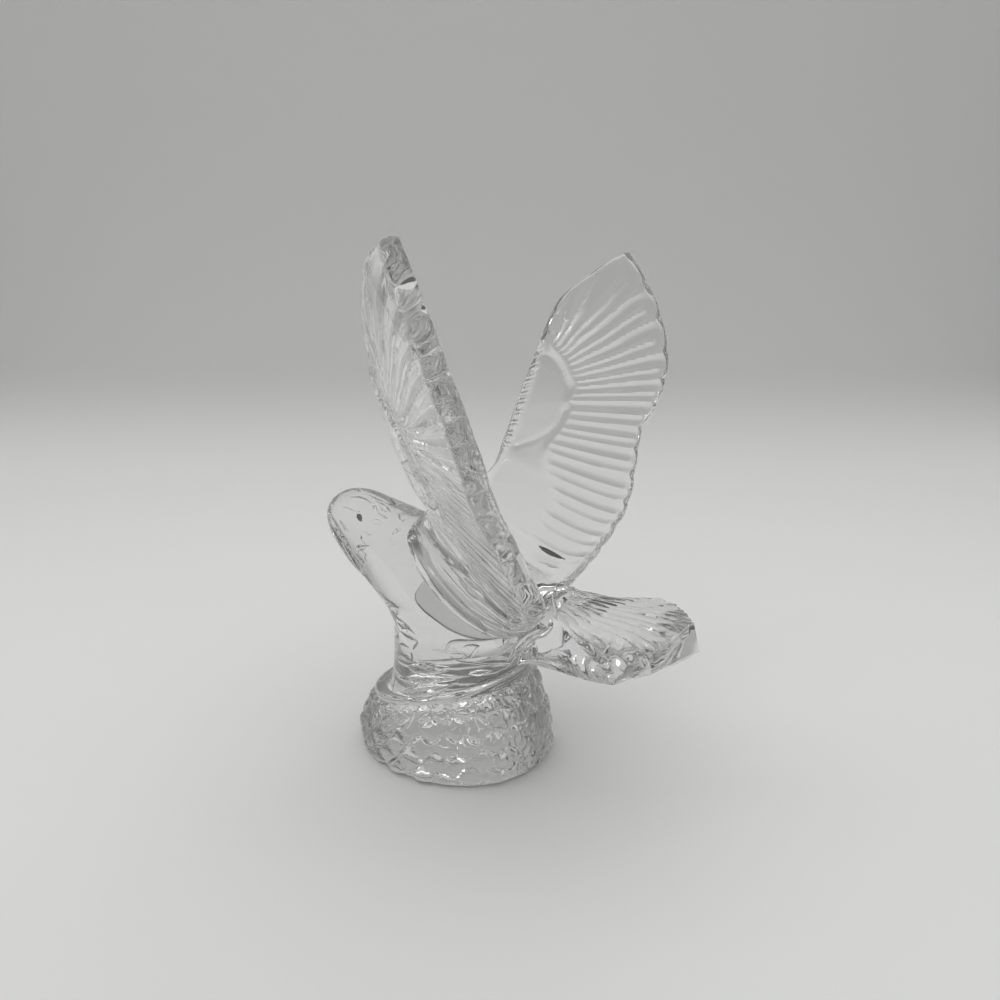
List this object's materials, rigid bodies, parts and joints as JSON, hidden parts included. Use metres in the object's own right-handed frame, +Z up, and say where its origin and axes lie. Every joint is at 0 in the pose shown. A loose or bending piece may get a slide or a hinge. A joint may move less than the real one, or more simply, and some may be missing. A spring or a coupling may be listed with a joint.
{
  "type": "eagle figurine",
  "caption": "Clear crystal figurine of an eagle with raised, spread wings and a fanned tail, perched on a round pebbled rock that stands flat.",
  "frame": {"origin": "middle of the rock's flat underside, on the eagle's plane of symmetry", "axes": "+X towards the eagle's left wing, -Y the way the eagle faces, +Z up"},
  "size_m": [0.1646, 0.1168, 0.1495],
  "materials": {
    "crystal": "polished clear crystal"
  },
  "bodies": {
    "root": {"eagle_figurine": "crystal"}
  },
  "joints": []
}
